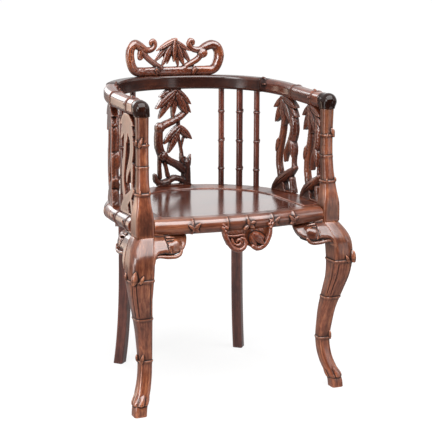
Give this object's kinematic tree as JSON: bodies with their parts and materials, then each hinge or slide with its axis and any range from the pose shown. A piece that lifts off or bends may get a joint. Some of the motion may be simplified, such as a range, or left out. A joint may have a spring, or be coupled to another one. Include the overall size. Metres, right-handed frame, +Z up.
{
  "type": "horseshoe-back armchair carved as bamboo",
  "caption": "Horseshoe-back hardwood armchair carved as bamboo, with pierced back and arm splats, round back spindles, cabriole front legs and sabre rear legs",
  "frame": {"origin": "on the floor, under the middle of the chair's bounding box", "axes": "+Z up, -Y to the front of the chair, +X to the right as seen from the front"},
  "size_m": [0.5874, 0.5117, 0.8742],
  "materials": {
    "carved_hardwood": "polished and waxed, worn lighter on ridges, dark in the carving",
    "polished_seat_board": "high polish",
    "dark_elbow_wood": "polished nearly black by handling",
    "plain_inner_wood": "plain, unpolished"
  },
  "bodies": {
    "root": {"apron_pendant": "carved_hardwood", "arm_dowels": "plain_inner_wood", "arm_end_left": "dark_elbow_wood", "arm_end_right": "dark_elbow_wood", "arm_rail_left": "carved_hardwood", "arm_rail_right": "carved_hardwood", "arm_splat_left_front": "carved_hardwood", "arm_splat_left_rear": "carved_hardwood", "arm_splat_right_front": "carved_hardwood", "arm_splat_right_rear": "carved_hardwood", "back_apron": "carved_hardwood", "back_rail": "carved_hardwood", "back_seat_rail_left": "carved_hardwood", "back_seat_rail_right": "carved_hardwood", "back_spindle_left_1": "carved_hardwood", "back_spindle_left_2": "carved_hardwood", "back_spindle_left_3": "carved_hardwood", "back_spindle_right_1": "carved_hardwood", "back_spindle_right_2": "carved_hardwood", "back_spindle_right_3": "carved_hardwood", "back_splat": "carved_hardwood", "crest": "carved_hardwood", "crest_dowels": "plain_inner_wood", "front_leg_left": "carved_hardwood", "front_leg_right": "carved_hardwood", "front_post_left": "carved_hardwood", "front_post_right": "carved_hardwood", "front_seat_rail": "carved_hardwood", "knee_bracket_front_left": "carved_hardwood", "knee_bracket_front_right": "carved_hardwood", "knee_bracket_side_left": "carved_hardwood", "knee_bracket_side_right": "carved_hardwood", "panel_batten_front": "plain_inner_wood", "panel_batten_rear": "plain_inner_wood", "rear_bracket_left": "carved_hardwood", "rear_bracket_right": "carved_hardwood", "rear_leg_left": "carved_hardwood", "rear_leg_right": "carved_hardwood", "seat_panel": "polished_seat_board", "side_seat_rail_left": "carved_hardwood", "side_seat_rail_right": "carved_hardwood"}
  },
  "joints": []
}
